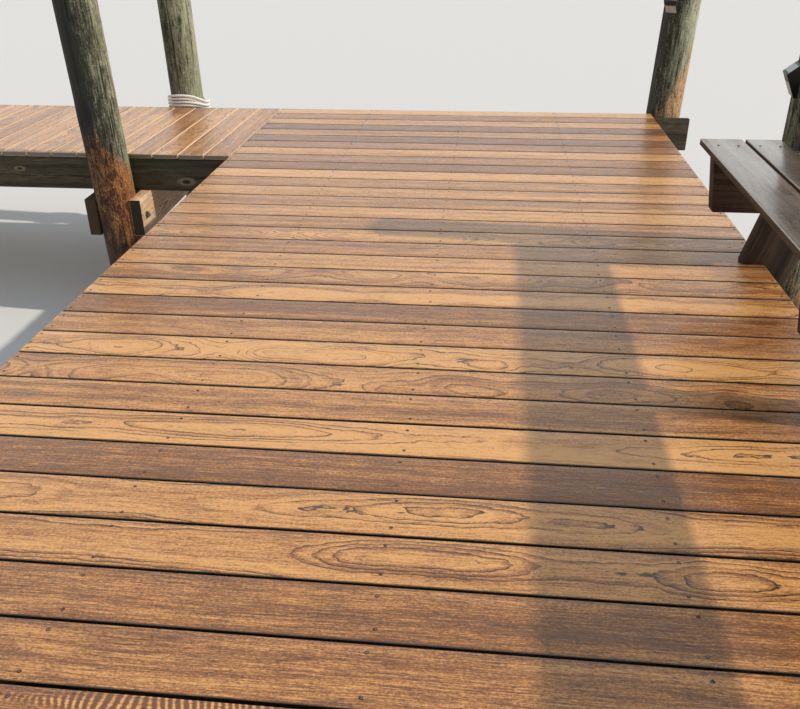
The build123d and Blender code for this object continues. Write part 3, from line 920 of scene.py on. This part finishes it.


# screws and bolts: closed rings about an axis, each a radius, a height and a mark, 0 for a near-black ring of
# painted hole shade and 1 for metal

def roundHeads(centres, outward, rings, segments=10, hexagons=()):
    # a ring's points: centre + radius * (cos a * u + sin a * v) + height * outward; in the rings named as
    # hexagons every other one of twelve points is drawn in
    centres = np.asarray(centres, float)
    outward = np.broadcast_to(np.asarray(outward, float), centres.shape)
    u = unitRows(np.cross(np.where(np.abs(outward[:, 2:3]) > 0.7, (1.0, 0, 0), (0, 0, 1.0)), outward))
    v = np.cross(outward, u)
    turn = np.linspace(0, 2 * np.pi, segments, endpoint=False)[:, None]
    radii, heights, metal = np.array(rings, float).T
    reach = np.tile(radii[:, None], segments)
    for row in hexagons:
        reach[row, 1::2] *= math.cos(math.pi / 6)
    centre, axis = centres[:, None, None], outward[:, None, None]
    around = np.cos(turn) * u[:, None, None] + np.sin(turn) * v[:, None, None]
    points = centre + reach[..., None] * around + heights[:, None, None] * axis
    count = len(rings) * segments
    poles = centres[:, None] + heights[[0, -1], None] * outward[:, None]
    block = np.concatenate([points.reshape(len(centres), count, 3), poles], axis=1)
    starts = (np.arange(len(centres)) * (count + 2))[:, None, None]
    ring = np.arange(segments)
    fans = np.concatenate([fanOut(ring, count)[:, [1, 0, 2]], fanOut(count - segments + ring, count + 1)])
    quads = (gridQuads(len(rings), segments) + starts).reshape(-1, 4)
    triangles = (fans + starts).reshape(-1, 3)
    marks = np.zeros((len(centres), count + 2, 3))
    marks[..., 0] = np.concatenate([np.repeat(metal, segments), metal[[0, -1]]])
    return block.reshape(-1, 3), [quads, triangles], {"marks": marks.reshape(-1, 3)}


hardwareValues = {
    "lines": (0.6354, 1.2355, 1.8356, 2.4357, 3.0358), "walkLines": (0.1382, 0.7188, 1.2994),
    "apart": 0.045, "jitter": 0.005, "seed": 77,
    "deckScrew": [(0.0042, -0.001, 0), (0.0042, 0.0003, 0), (0.0030, 0.0004, 0), (0.0028, 0.0008, 1),
                  (0.0016, 0.0009, 1), (0.0008, 0.0004, 0)],
    "nailHead": [(0.0042, -0.001, 1), (0.0042, 0.0008, 1), (0.0030, 0.0014, 1)],
    "bolt": [(0.022, -0.001, 1), (0.022, 0.0025, 1), (0.0185, 0.003, 1), (0.0150, 0.003, 1),
             (0.0150, 0.0125, 1), (0.0125, 0.014, 1), (0.0068, 0.014, 1), (0.0064, 0.0205, 1)],
    "boltSides": 12, "hexagons": (3, 4, 5),
    "seatX": (2.804, 2.871, 2.944, 3.01), "seatY": (-1.305, -2.3112, -3.5574), "seatTop": 1.348,
    "backFoot": (3.0759, 1.3734), "backSteps": (0.035, 0.105, 0.2147, 0.2847),
    "backY": (-1.243, -2.3732, -3.6194), "boltHeight": 0.5876, "capFace": 0.1575,
    "rowLines": (-2.459, -4.8975), "pileLines": (0.0, 1.4574), "platformPiles": (0.8165, 3.1885)}


def makeHardwareMaterial():
    material, tree, shader = newMaterial("fastenerMetal", Roughness=0.42)
    metal = attributeOf(tree, "marks").parts()[0]
    rust = placeInScene(tree).noise(160, 3).spread(0.42, 0.62).between("8f8a82", "4a3626")
    # rings marked 0 are near black: painted shade of the screw holes and recesses
    feed(shader, {"Base Color": metal.between("0f0b08", rust), "Metallic": metal * 0.8})
    return material


def deckScrewPlaces():
    # two screws in every board at each line of timber under it
    v = hardwareValues
    random = np.random.default_rng(v["seed"])
    sides = np.array([-1, 1]) * v["apart"]
    x, y, side = np.meshgrid(v["lines"], boardLines(platformValues), sides, indexing="ij")
    places = np.stack([x, y + side], axis=-1).reshape(-1, 2)
    y, x, side = np.meshgrid(v["walkLines"], boardLines(walkwayValues), sides, indexing="ij")
    places = np.concatenate([places, np.stack([x + side, y], axis=-1).reshape(-1, 2)])
    places += random.uniform(-1, 1, places.shape) * v["jitter"]
    return np.c_[places, np.full(len(places), boardValues["top"])]


def benchScrewPlaces():
    # into the seat's planks from above, and into the leaning back's planks from the front
    v = hardwareValues
    x, y = np.meshgrid(v["seatX"], v["seatY"])
    seat = np.stack([x.ravel(), y.ravel(), np.full(x.size, v["seatTop"])], axis=1)
    up, y = (values.ravel() for values in np.meshgrid(v["backSteps"], v["backY"]))
    foot, level = v["backFoot"]
    back = np.stack([foot + up * math.sin(benchLean), y, level + up * math.cos(benchLean)], axis=1)
    outward = [(0, 0, 1.0)] * len(seat) + [(-math.cos(benchLean), 0, math.sin(benchLean))] * len(back)
    return np.concatenate([seat, back]), outward


def boltPlaces():
    # on the outer faces of every cap pair, one at each pile of its row; the first row is turned a little
    v, line = hardwareValues, timberValues["capLine"]
    across = np.array([math.cos(firstTurn), math.sin(firstTurn)])
    ahead = np.array([-across[1], across[0]])
    places, outward = [], []
    for side in (-1, 1):
        for y in v["pileLines"]:
            middle = np.array([line, 0]) + ahead * y + across * side * v["capFace"]
            places.append((*middle, v["boltHeight"]))
            outward.append((*(across * side), 0))
            places += [(x + side * v["capFace"], y, v["boltHeight"]) for x in v["rowLines"]]
            outward += [(side, 0, 0)] * len(v["rowLines"])
        for y in hiddenPiles["lines"]:
            places += [(x, y + side * v["capFace"], v["boltHeight"]) for x in v["platformPiles"]]
            outward += [(0, side, 0)] * len(v["platformPiles"])
    return places, outward


def makeHardware():
    v = hardwareValues
    metal = makeHardwareMaterial()
    makePiece("deckScrews", *roundHeads(deckScrewPlaces(), (0, 0, 1), v["deckScrew"]), metal)
    makePiece("benchScrews", *roundHeads(*benchScrewPlaces(), v["nailHead"]), metal)
    bolts = roundHeads(*boltPlaces(), v["bolt"], v["boltSides"], v["hexagons"])
    makePiece("capBolts", *bolts, metal, sharp=35)


makeHardware()
print("screws and bolts set")


# floor, world and lamps

stageValues = {
    "floor": "e9e9e7", "reach": 40.0, "background": "f4f4f2", "fill": "e6edf6", "worldStrength": 0.54,
    "keyColour": "fff5e8", "keyStrength": 2.52, "keyAngle": 1.3, "keyTravel": (-0.578, 0.05, -0.44)}


def makeStage():
    v = stageValues
    reach = v["reach"]
    mesh = bpy.data.meshes.new("floor")
    corners = [(-reach, -reach, 0), (reach, -reach, 0), (reach, reach, 0), (-reach, reach, 0)]
    mesh.from_pydata(corners, [], [(0, 1, 2, 3)])
    floor = placed("floor", mesh)
    material, _, shader = newMaterial("floorPaint", Roughness=0.9)
    feed(shader, {"Base Color": v["floor"]})
    mesh.materials.append(material)
    world = bpy.data.worlds.new("studio")
    scene.world = world
    world.use_nodes = True
    tree = world.node_tree
    tree.nodes.clear()
    rays = newNode(tree, "LightPath").outputs
    camera, glossy, through = (Value(rays[f"Is {kind} Ray"]) for kind in ("Camera", "Glossy", "Transmission"))
    seen = calc("ADD", camera, glossy + through, clamp=True)
    light = {"Color": seen.between(v["fill"], v["background"]),
             "Strength": seen.spread(0, 1, v["worldStrength"], 1, kind="LINEAR")}
    newNode(tree, "OutputWorld", {0: add(tree, "Background", light)})
    key = bpy.data.lights.new("key", "SUN")
    key.energy = v["keyStrength"]
    key.color = linearColour(v["keyColour"])[:3]
    key.angle = math.radians(v["keyAngle"])
    lamp = placed("key", key)
    lamp.rotation_euler = Vector(v["keyTravel"]).to_track_quat("-Z", "Y").to_euler()
    scene.view_settings.view_transform = "Standard"


makeStage()
bpy.context.view_layer.update()
print("stage set")
